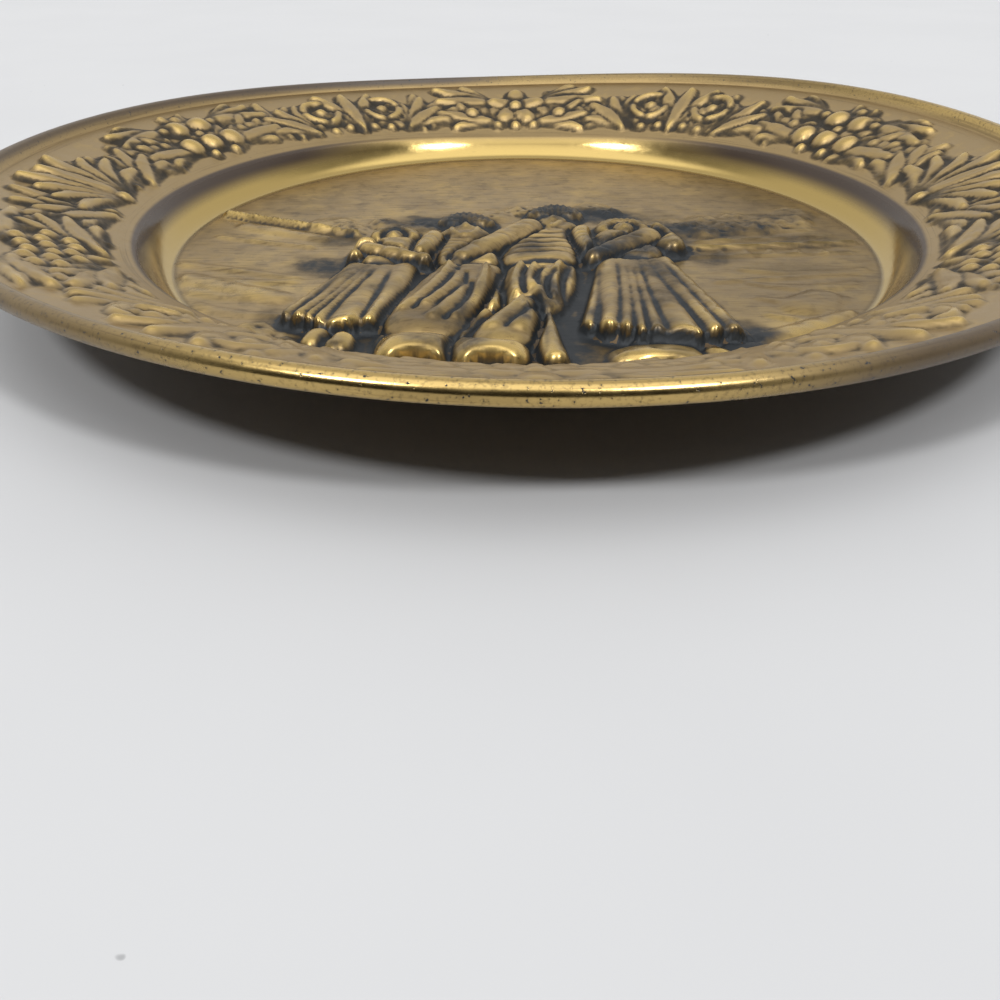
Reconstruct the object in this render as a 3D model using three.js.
// An embossed brass wall plate: one round sheet of brass with a rolled edge, a sloping flange of
// fruit and acanthus leaves, and a sunk field with four country people in relief.
// Millimetres. The plate lies on its flat back: +Z comes out of its face, +Y is the top of its picture.
import * as THREE from 'three';

// ---- driving dimensions of the sheet
const PLATE_RADIUS = 152.5; // over the rolled edge
const SHEET = 1.0; // thickness of the sheet
const ROLL_RADIUS = 2.3; // half the thickness of the rolled edge
const ROLL_HEIGHT = 25.3; // middle of the roll above the flat back
const FLANGE_RADIUS = 147.6; // where the flange meets the roll
const FLANGE_HEIGHT = 24.2;
const FLANGE_SWELL = 0.9; // how far the flange bows up between its two edges
const SHOULDER_RADIUS = 111.0; // rounded inner edge of the flange
const SHOULDER_HEIGHT = 10.6;
const SHOULDER_ROUND = 2.2;
const FIELD_RADIUS = 101.7; // flat floor of the well
const COVE_POWER = 1.9; // the wall of the well starts flat and ends steep
const WELL_OFFSET = 1.1; // the well sits this far to one side of the edge
const EDGE_WARP = { cosine: 2.0, sine: 1.2 }; // the edge is bent, saddle-wise, by this much

// ---- driving dimensions of the relief
const ORNAMENT_MIDDLE = 128.5; // middle circle of the band of leaves and fruit
const ORNAMENT_HALF = 14.0; // half the width of that band
const ORNAMENT_PLACES = 12; // fans and clusters, by turns, round the flange
const HEAD_CROWN = 4.6; // crowns: the heights of the rounded forms above the field
const BODY_CROWN = 5.5;
const ARM_CROWN = 7.0;
const LEG_CROWN = 6.2;
const SHIN_CROWN = 5.6;
const CLOG_CROWN = 7.4;
const PLEAT_DEPTH = 1.1;
const FOLD_PITCH = 10;
const FOLD_DEPTH = 0.13; // of a form's own height

// ---- how finely the faces are cut
const FACE_TRIANGLES = 7650; // of the face, inside the roll; they gather where the relief is
const SHORTEST_CUT = 2.1; // no edge of the face shorter than this is cut again
const PICTURE_CARE = 2.2; // the picture is cut this much more carefully than the flange
const TURN_GAIN = 0.99; // a diagonal is turned only where the stray falls below this share
const CUT_STAGES = [0.45, 0.7, 0.9, 1]; // diagonals are turned after each of these shares of the cuts
const CIRCLE_SIDES = 96;
const BACK_SIDES = 60;

const degrees = Math.PI / 180;
const clamp = (value, low, high) => Math.min(high, Math.max(low, value));
const lerp = THREE.MathUtils.lerp;
const smoothstep = THREE.MathUtils.smoothstep;

// ======================================================================================= forms
// A form is a function of a place (x, y) that gives its height above the ground it is raised from.

/** The highest of several forms. */
function together(...forms) {
  return (x, y) => forms.reduce((top, form) => Math.max(top, form(x, y)), 0);
}

/** A round-topped limb from one point to another; its radius tapers, and bulge swells its middle. */
function limb([ax, ay], [bx, by], startRadius, endRadius, crown, bulge = 0) {
  const dx = bx - ax;
  const dy = by - ay;
  const lengthSquared = dx * dx + dy * dy || 1;
  return (x, y) => {
    const t = clamp(((x - ax) * dx + (y - ay) * dy) / lengthSquared, 0, 1);
    const radius = lerp(startRadius, endRadius, t) + bulge * Math.sin(Math.PI * t);
    const u = Math.hypot(x - ax - t * dx, y - ay - t * dy) / radius;
    return u < 1 ? crown * Math.sqrt(1 - u * u) : 0;
  };
}

/** A berry, head or stone. */
function ball(centre, radius, crown) {
  return limb(centre, centre, radius, radius, crown);
}

/** A wooden shoe: broad, highest near its toe, with a sheer front. */
function clog([cx, cy], halfWidth, halfLength, crown) {
  return (x, y) => {
    const along = (cy - y) / halfLength; // +1 at the toe
    const across = (x - cx) / halfWidth;
    const sheer = along > 0 ? along ** 4 : along * along;
    const left = 1 - sheer - across * across;
    return left > 0 ? crown * Math.sqrt(left) : 0;
  };
}

/** A form with folds: ridges that run along the given direction, in degrees from the x axis. */
function folded(form, direction) {
  const across = [Math.sin(direction * degrees), -Math.cos(direction * degrees)];
  return (x, y) => {
    const phase = (2 * Math.PI * (x * across[0] + y * across[1])) / FOLD_PITCH;
    return form(x, y) * (1 + FOLD_DEPTH * Math.cos(phase));
  };
}

/** A pleated skirt that opens from the waist to a scalloped hem. */
function skirt({ waist, drop, waistHalf, hemHalf, lean, pleats, crown }) {
  return (x, y) => {
    const t = (waist[1] - y) / drop;
    const u = (x - waist[0] - lean * t) / lerp(waistHalf, hemHalf, clamp(t, 0, 1));
    if (t < 0 || Math.abs(u) >= 1) return 0;
    const wave = Math.cos(Math.PI * pleats * u);
    const hem = 1 - 0.16 * u * u + 0.02 * wave;
    if (t > hem) return 0;
    return crown * Math.sqrt(1 - u ** 4) * lerp(0.7, 1, t) + PLEAT_DEPTH * t * wave;
  };
}

/** A straight raised ridge, such as a wall's coping or a roof line. */
function ridge(from, to, half, crown) {
  return limb(from, to, half, half, crown);
}

// ======================================================================================= people

/** A woman in a bonnet, a bodice and a pleated skirt. */
function woman({ head, headRadius, neck, arms, skirtShape, shoes, bodice }) {
  const parts = [
    ball(head, headRadius, HEAD_CROWN),
    limb(neck, skirtShape.waist, bodice, skirtShape.waistHalf - 1.5, BODY_CROWN),
    skirt(skirtShape),
    ...arms.map(([from, to, radius]) => limb(from, to, radius, radius * 0.85, ARM_CROWN)),
    ...shoes.map((shoe) => ball(shoe, 4.2, 4.4)),
  ];
  return together(...parts);
}

/** A man in a cap, a short jacket, wide breeches gathered at the knee, and clogs. */
function man({ cap, head, neck, belt, chest, arms, legs, clogs }) {
  const parts = [
    ridge([cap[0] - 4, cap[1]], [cap[0] + 4, cap[1]], 4.6, HEAD_CROWN),
    ball(head, 6.2, HEAD_CROWN),
    limb(neck, belt, chest, chest * 0.82, BODY_CROWN),
    ...arms.map(([from, to, radius]) => limb(from, to, radius, radius * 1.05, ARM_CROWN)),
  ];
  for (const { hip, knee, ankle, bulge, slant } of legs) {
    parts.push(folded(limb(hip, knee, 7.2, 6.6, LEG_CROWN, bulge), slant));
    parts.push(limb(knee, ankle, 5.0, 4.2, SHIN_CROWN));
  }
  for (const { middle, half, length } of clogs) parts.push(clog(middle, half, length, CLOG_CROWN));
  return together(...parts);
}

const people = together(
  woman({
    head: [-35, 0],
    headRadius: 7,
    neck: [-36, -12],
    bodice: 9.5,
    arms: [
      [[-45, -13], [-47, -25], 4.2],
      [[-45, -25], [-28, -31], 4.2],
      [[-50, -42], [-58, -46], 3.8],
    ],
    skirtShape: { waist: [-38, -33], drop: 47, waistHalf: 10, hemHalf: 19, lean: -6, pleats: 5, crown: 5.6 },
    shoes: [[-50, -84], [-40, -87]],
  }),
  man({
    cap: [-16, 13],
    head: [-16, 6],
    neck: [-16, -5],
    belt: [-15, -32],
    chest: 10.5,
    arms: [[[-24, -7], [-29, -20], 4.2]],
    legs: [
      { hip: [-20, -38], knee: [-26, -70], ankle: [-28, -82], bulge: 4.2, slant: 72 },
      { hip: [-12, -38], knee: [-11, -67], ankle: [-14, -80], bulge: 2.6, slant: 108 },
    ],
    clogs: [{ middle: [-27, -88], half: 12, length: 9.5 }],
  }),
  man({
    cap: [9, 21],
    head: [8.5, 13],
    neck: [7.5, 1],
    belt: [4, -32],
    chest: 12.5,
    arms: [
      [[0, -1], [-14, -28], 4.6],
      [[18, -5], [18, -24], 4.6],
    ],
    legs: [
      { hip: [0, -38], knee: [-3, -68], ankle: [-9, -84], bulge: 3.2, slant: 60 },
      { hip: [9, -38], knee: [6, -68], ankle: [8, -92], bulge: 2.2, slant: 100 },
    ],
    clogs: [{ middle: [-6, -89], half: 10, length: 9 }],
  }),
  woman({
    head: [29, 4],
    headRadius: 7.6,
    neck: [30, -9],
    bodice: 10.5,
    arms: [
      [[24, -11], [33, -18], 4.4],
      [[33, -18], [20, -31], 4.4],
      [[40, -12], [42, -28], 5],
    ],
    skirtShape: { waist: [32, -33], drop: 49, waistHalf: 10, hemHalf: 26, lean: 1, pleats: 7, crown: 6.4 },
    shoes: [[27, -86], [41, -87]],
  }),
);

// ============================================================================ ground and background

/** A heap of stones or a bush: balls set along a line, each a little off it. */
function heap(from, to, count, radius, crown) {
  const balls = [];
  for (let i = 0; i < count; i++) {
    const t = count > 1 ? i / (count - 1) : 0;
    const wander = radius * 0.55 * Math.sin(i * 2.4 + from[0]);
    const middle = [lerp(from[0], to[0], t) + wander * 0.4, lerp(from[1], to[1], t) + wander];
    balls.push(ball(middle, radius * (1 + 0.25 * Math.cos(i * 1.9)), crown));
  }
  return together(...balls);
}

const scenery = together(
  // the quay wall and the roof line at the left
  ridge([-93, 21], [-47, 1], 3.0, 2.8),
  ridge([-92, 2], [-62, -7], 2.2, 1.2),
  ridge([-84, -38], [-60, -46], 5.0, 1.0),
  // the low wall at the right
  ridge([46, -9], [95, -12], 2.4, 1.5),
  // hedges and trees behind the people
  heap([-60, 14], [-28, 12], 5, 6.5, 1.7),
  heap([-8, 26], [26, 30], 5, 6.0, 1.6),
  heap([48, 4], [82, 8], 6, 6.5, 2.1),
  heap([52, 16], [78, 22], 4, 6.5, 1.5),
  // stones and rough ground along the foot
  limb([18, -91], [36, -92], 5.2, 5.0, 4.2),
  ball([42, -87], 3.2, 3.6),
  limb([48, -85], [66, -70], 3.6, 4.6, 3.0),
  ball([72, -58], 8.5, 2.2),
  heap([-66, -70], [-56, -79], 3, 4.2, 2.4),
  heap([-16, -97], [14, -98], 6, 3.2, 2.0),
);

const picture = together(people, scenery);

/** Height of the picture above the field, faded out where the well's wall begins. */
function fieldRelief(x, y) {
  const radius = Math.hypot(x - WELL_OFFSET, y);
  return picture(x, y) * (1 - smoothstep(radius, FIELD_RADIUS - 3.5, FIELD_RADIUS));
}

// ================================================================================== flange ornament
// Each motif is drawn upright at its own place: x runs along the band, y outwards from its middle.

/** An acanthus fan: lobes that spread from one root, with a leaf curling away on either side. */
function acanthus() {
  const root = [0, -ORNAMENT_HALF + 1];
  const parts = [];
  for (let i = -2; i <= 2; i++) {
    const lean = i * 31 * degrees;
    const reach = 24.5 - 0.9 * i * i;
    const tip = [root[0] + reach * Math.sin(lean), root[1] + reach * Math.cos(lean)];
    parts.push(limb(root, tip, 2.0, 3.2, 2.6, 1.6));
  }
  for (const side of [-1, 1]) parts.push(limb([side * 22, -10], [side * 30, 2], 2.6, 3.0, 2.2, 1.2));
  return together(...parts);
}

/** A cluster of round fruit between two pairs of leaves. */
function fruit() {
  const parts = [];
  for (const [row, count] of [[-6, 3], [5, 2]]) {
    for (let i = 0; i < count; i++) parts.push(ball([(i - (count - 1) / 2) * 11, row], 5.8, 3.4));
  }
  for (const side of [-1, 1]) {
    parts.push(limb([side * 14, 8], [side * 26, 9], 3.0, 1.8, 2.4, 1.6));
  }
  return together(...parts);
}

/** An open flower between two fruits. */
function flower() {
  const parts = [ball([0, 0], 4.4, 3.6)];
  for (let i = 0; i < 5; i++) {
    const turn = (i * 72 + 90) * degrees;
    parts.push(ball([8.4 * Math.cos(turn), 8.4 * Math.sin(turn)], 4.8, 2.5));
  }
  for (const side of [-1, 1]) parts.push(ball([side * 20, -3], 4.6, 2.8));
  return together(...parts);
}

const motifs = { fan: acanthus(), fruit: fruit(), flower: flower() };

/** The motif at one of the places round the flange; place 0 is at the right, and they run anticlockwise. */
function motifAt(place) {
  if (place % 2 === 0) return motifs.fan;
  return place % 6 === 3 ? motifs.flower : motifs.fruit;
}

/** Height of the leaves and fruit above the flange. */
function flangeRelief(x, y) {
  const radius = Math.hypot(x, y);
  const outward = radius - ORNAMENT_MIDDLE;
  if (Math.abs(outward) > ORNAMENT_HALF + 1) return 0;
  const turn = Math.atan2(y, x) / (2 * Math.PI) * ORNAMENT_PLACES;
  const near = Math.round(turn);
  const neighbour = turn > near ? near + 1 : near - 1;
  const heights = [near, neighbour].map((place) => {
    const along = ((turn - place) * 2 * Math.PI * ORNAMENT_MIDDLE) / ORNAMENT_PLACES;
    return motifAt((place + ORNAMENT_PLACES) % ORNAMENT_PLACES)(-along, outward);
  });
  return Math.max(...heights);
}

// ======================================================================================= the sheet

/** Smaller of two values, with the corner between them rounded over the given width. */
function roundedMin(a, b, width) {
  const h = clamp(0.5 + (b - a) / (2 * width), 0, 1);
  return lerp(b, a, h) - width * h * (1 - h);
}

/** Height of the sheet's upper face at a radius, before the relief and the bend. */
function faceHeight(radius) {
  const climb = clamp((radius - FIELD_RADIUS) / (SHOULDER_RADIUS - FIELD_RADIUS), 0, 2);
  const wall = SHEET + (SHOULDER_HEIGHT - SHEET) * climb ** COVE_POWER;
  const across = (radius - SHOULDER_RADIUS) / (FLANGE_RADIUS - SHOULDER_RADIUS);
  const bow = FLANGE_SWELL * Math.sin(Math.PI * clamp(across, 0, 1));
  const flange = lerp(SHOULDER_HEIGHT, FLANGE_HEIGHT, across) + bow;
  return radius < FIELD_RADIUS ? SHEET : roundedMin(wall, flange, SHOULDER_ROUND);
}

/** Lift of the bent edge: none at the shoulder, most at the roll. */
function bend(radius, angle) {
  const reach = clamp((radius - SHOULDER_RADIUS) / (PLATE_RADIUS - SHOULDER_RADIUS), 0, 1);
  return reach * (EDGE_WARP.cosine * Math.cos(2 * angle) + EDGE_WARP.sine * Math.sin(2 * angle));
}

/** Sideways shift of a circle of the plate: all of it in the well, none at the edge. */
function offset(radius) {
  return WELL_OFFSET * (1 - smoothstep(radius, SHOULDER_RADIUS, FLANGE_RADIUS));
}

/** Height of the finished face at a place. */
function faceAt(x, y) {
  const centred = Math.hypot(x - offset(Math.hypot(x, y)), y);
  const raised = centred < FIELD_RADIUS ? fieldRelief(x, y) : flangeRelief(x, y);
  return faceHeight(centred) + raised + bend(centred, Math.atan2(y, x));
}

/** One circle of points, whose heights come from height(radius, angle). */
function ring(radius, sides, height) {
  const points = [];
  for (let i = 0; i < sides; i++) {
    const angle = (i / sides) * 2 * Math.PI;
    points.push([offset(radius) + radius * Math.cos(angle), radius * Math.sin(angle), height(radius, angle)]);
  }
  return points;
}

/** Faces between two rings that may have different numbers of points, by the shorter diagonal. */
function stitch(inner, outer, points) {
  const gap = (a, b) => Math.hypot(...points[a].map((value, axis) => value - points[b][axis]));
  const faces = [];
  let i = 0;
  let j = 0;
  while (i < inner.length || j < outer.length) {
    const [a, nextA] = [inner[i % inner.length], inner[(i + 1) % inner.length]];
    const [b, nextB] = [outer[j % outer.length], outer[(j + 1) % outer.length]];
    if (j >= outer.length || (i < inner.length && gap(nextA, b) < gap(nextB, a))) {
      faces.push([a, b, nextA]);
      i++;
    } else {
      faces.push([a, b, nextB]);
      j++;
    }
  }
  return faces;
}

/** Faces between a middle point and the ring round it. */
function hub(centre, around) {
  return around.map((point, i) => [centre, point, around[(i + 1) % around.length]]);
}

/** Adds new points to the list and returns their numbers. */
function addPoints(newPoints, points) {
  return newPoints.map((point) => points.push(point) - 1);
}

/** How far a flat face strays from the true one: the mean gap, times the area. */
function stray([a, b, c]) {
  const area = Math.abs((b[0] - a[0]) * (c[1] - a[1]) - (c[0] - a[0]) * (b[1] - a[1])) / 2;
  const cuts = 5;
  let [total, count] = [0, 0];
  for (let i = 0; i <= cuts; i++) {
    for (let j = 0; j <= cuts - i; j++) {
      const [u, v] = [i / cuts, j / cuts];
      const [x, y, z] = [0, 1, 2].map((k) => a[k] + u * (b[k] - a[k]) + v * (c[k] - a[k]));
      total += Math.abs(faceAt(x, y) - z);
      count++;
    }
  }
  const inPicture = Math.hypot(a[0], a[1]) < FIELD_RADIUS;
  return ((inPicture ? PICTURE_CARE : 1) * area * total) / count;
}

/** Cuts faces in two across their longest edges, the worst first, until there are enough of them. */
class Refiner {
  constructor(points, faces) {
    this.points = points;
    this.edges = new Map();
    this.faces = new Set();
    faces.forEach((corners) => this.add(corners));
  }

  key(a, b) {
    return Math.min(a, b) * 1e5 + Math.max(a, b);
  }

  add(corners) {
    const lengths = corners.map((a, k) => {
      const [p, q] = [this.points[a], this.points[corners[(k + 1) % 3]]];
      return Math.hypot(p[0] - q[0], p[1] - q[1]);
    });
    const keys = corners.map((a, k) => this.key(a, corners[(k + 1) % 3]));
    const order = [0, 1, 2].sort((k, m) => lengths[m] - lengths[k] || keys[m] - keys[k]);
    const face = { corners, keys, longest: order[0], length: lengths[order[0]] };
    face.stray = stray(corners.map((a) => this.points[a]));
    this.faces.add(face);
    for (const key of keys) {
      if (!this.edges.has(key)) this.edges.set(key, []);
      this.edges.get(key).push(face);
    }
  }

  remove(face) {
    this.faces.delete(face);
    for (const key of face.keys) this.edges.set(key, this.edges.get(key).filter((other) => other !== face));
  }

  /** Cuts a face, after any neighbour whose own longest edge has to be cut first. */
  cut(face) {
    while (this.faces.has(face)) {
      const key = face.keys[face.longest];
      const neighbour = this.edges.get(key).find((other) => other !== face);
      if (neighbour && neighbour.keys[neighbour.longest] !== key) {
        this.cut(neighbour);
        continue;
      }
      const [a, b] = [face.corners[face.longest], face.corners[(face.longest + 1) % 3]];
      const middle = this.points.push(this.middle(a, b, !neighbour)) - 1;
      for (const half of neighbour ? [face, neighbour] : [face]) {
        const [from, to, far] = [0, 1, 2].map((k) => half.corners[(half.longest + k) % 3]);
        this.remove(half);
        this.add([from, middle, far]);
        this.add([middle, to, far]);
      }
    }
  }

  /** The point of the face above the middle of an edge; on the rim it keeps to the circle. */
  middle(a, b, onRim) {
    let [x, y] = [0, 1].map((k) => (this.points[a][k] + this.points[b][k]) / 2);
    if (onRim) {
      const grow = FLANGE_RADIUS / Math.hypot(x, y);
      [x, y] = [x * grow, y * grow];
    }
    return [x, y, faceAt(x, y)];
  }

  /** Turns the diagonal between two faces where the other one lies closer to the true face. */
  turn(key) {
    const [face, other] = this.edges.get(key) ?? [];
    if (!other) return;
    const k = face.keys.indexOf(key);
    const [a, b, c] = [0, 1, 2].map((step) => face.corners[(k + step) % 3]);
    const d = other.corners[(other.keys.indexOf(key) + 2) % 3];
    const side = (p, q, r) => {
      const [from, to, at] = [p, q, r].map((index) => this.points[index]);
      return (to[0] - from[0]) * (at[1] - from[1]) - (to[1] - from[1]) * (at[0] - from[0]);
    };
    const thin = 0.08 * face.length ** 2;
    if (side(c, a, d) < thin || side(d, b, c) < thin) return;
    const turned = [[c, a, d], [d, b, c]];
    const after = turned.map((corners) => stray(corners.map((index) => this.points[index])));
    if (after[0] + after[1] > (face.stray + other.stray) * TURN_GAIN) return;
    [face, other].forEach((old) => this.remove(old));
    turned.forEach((corners) => this.add(corners));
  }

  run(limit) {
    let tolerance = 40;
    for (const goal of CUT_STAGES) {
      for (; this.faces.size < goal * limit; tolerance *= 0.82) {
        for (const face of [...this.faces]) {
          const tooCoarse = face.stray > tolerance && face.length > SHORTEST_CUT;
          if (this.faces.has(face) && tooCoarse && this.faces.size < goal * limit) this.cut(face);
        }
      }
      for (let pass = 0; pass < 2; pass++) [...this.edges.keys()].forEach((key) => this.turn(key));
    }
    return [...this.faces].map((face) => face.corners);
  }
}

/** The face inside the roll: plain rings first, then cut finer wherever the relief asks for it. */
function faceSkin(points) {
  const wall = [0, 0.34, 0.64, 0.86, 1.08].map((t) => lerp(FIELD_RADIUS, SHOULDER_RADIUS, t));
  const layout = [
    [18, 9], [40, 20], [64, 36], [86, 56],
    ...wall.map((radius) => [radius, CIRCLE_SIDES]),
    [ORNAMENT_MIDDLE, CIRCLE_SIDES * 0.75],
    [FLANGE_RADIUS, CIRCLE_SIDES],
  ];
  const height = (radius, angle) => {
    return faceAt(offset(radius) + radius * Math.cos(angle), radius * Math.sin(angle));
  };
  const centre = points.push([WELL_OFFSET, 0, faceAt(WELL_OFFSET, 0)]) - 1;
  const rings = layout.map(([radius, sides]) => addPoints(ring(radius, sides, height), points));
  const faces = hub(centre, rings[0]);
  for (let k = 0; k + 1 < rings.length; k++) faces.push(...stitch(rings[k], rings[k + 1], points));
  const skin = new Refiner(points, faces).run(FACE_TRIANGLES);
  const turn = (index) => Math.atan2(points[index][1], points[index][0]);
  const onRim = (point) => Math.hypot(point[0], point[1]) > FLANGE_RADIUS - 0.01;
  const rim = [...points.keys()].filter((index) => onRim(points[index])).sort((a, b) => turn(a) - turn(b));
  const first = rim.findIndex((index) => turn(index) > -1e-6);
  return { skin, rim: [...rim.slice(first), ...rim.slice(0, first)] };
}

/** Circles round the rolled edge, from its upper inner side over the outside to its lower inner side. */
function rollRings() {
  return [122, 78, 36, -2, -45, -92, -146].map((turn) => {
    const radius = PLATE_RADIUS - ROLL_RADIUS + ROLL_RADIUS * Math.cos(turn * degrees);
    const rise = ROLL_HEIGHT + ROLL_RADIUS * Math.sin(turn * degrees);
    return ring(radius, CIRCLE_SIDES, (r, angle) => rise + bend(r, angle));
  });
}

/** Circles of the plain back, from the roll to the middle; outside the well it follows the face. */
function backRings() {
  const wall = [1.12, 0.92, 0.66, 0.36].map((t) => lerp(FIELD_RADIUS, SHOULDER_RADIUS, t));
  const under = (radius, angle) => faceHeight(radius) - SHEET + bend(radius, angle);
  const slopes = [FLANGE_RADIUS, ORNAMENT_MIDDLE, ...wall];
  const flat = (radius, sides) => ring(radius, sides, () => 0);
  return [
    ...slopes.map((radius) => ring(radius, BACK_SIDES, under)),
    flat(FIELD_RADIUS, BACK_SIDES),
    flat(FIELD_RADIUS / 2, BACK_SIDES / 3),
  ];
}

/** The whole plate: a skin from the middle of the face, over the edge, to the middle of the back. */
function plateGeometry() {
  const points = [];
  const { skin, rim } = faceSkin(points);
  const rings = [rim, ...[...rollRings(), ...backRings()].map((circle) => addPoints(circle, points))];
  const faces = [...skin];
  for (let k = 0; k + 1 < rings.length; k++) faces.push(...stitch(rings[k], rings[k + 1], points));
  const middle = points.push([WELL_OFFSET, 0, 0]) - 1;
  faces.push(...hub(middle, rings.at(-1).toReversed()));

  const geometry = new THREE.BufferGeometry();
  geometry.setAttribute('position', new THREE.Float32BufferAttribute(points.flat(), 3));
  geometry.setIndex(faces.flat());
  geometry.computeVertexNormals();
  return geometry;
}

const brass = new THREE.MeshStandardMaterial({ color: 0x9c8552, roughness: 0.38, metalness: 1.0 });

const plate = new THREE.Mesh(plateGeometry(), brass);
plate.name = 'plate';

const wallPlate = new THREE.Group();
wallPlate.add(plate);

export default wallPlate;
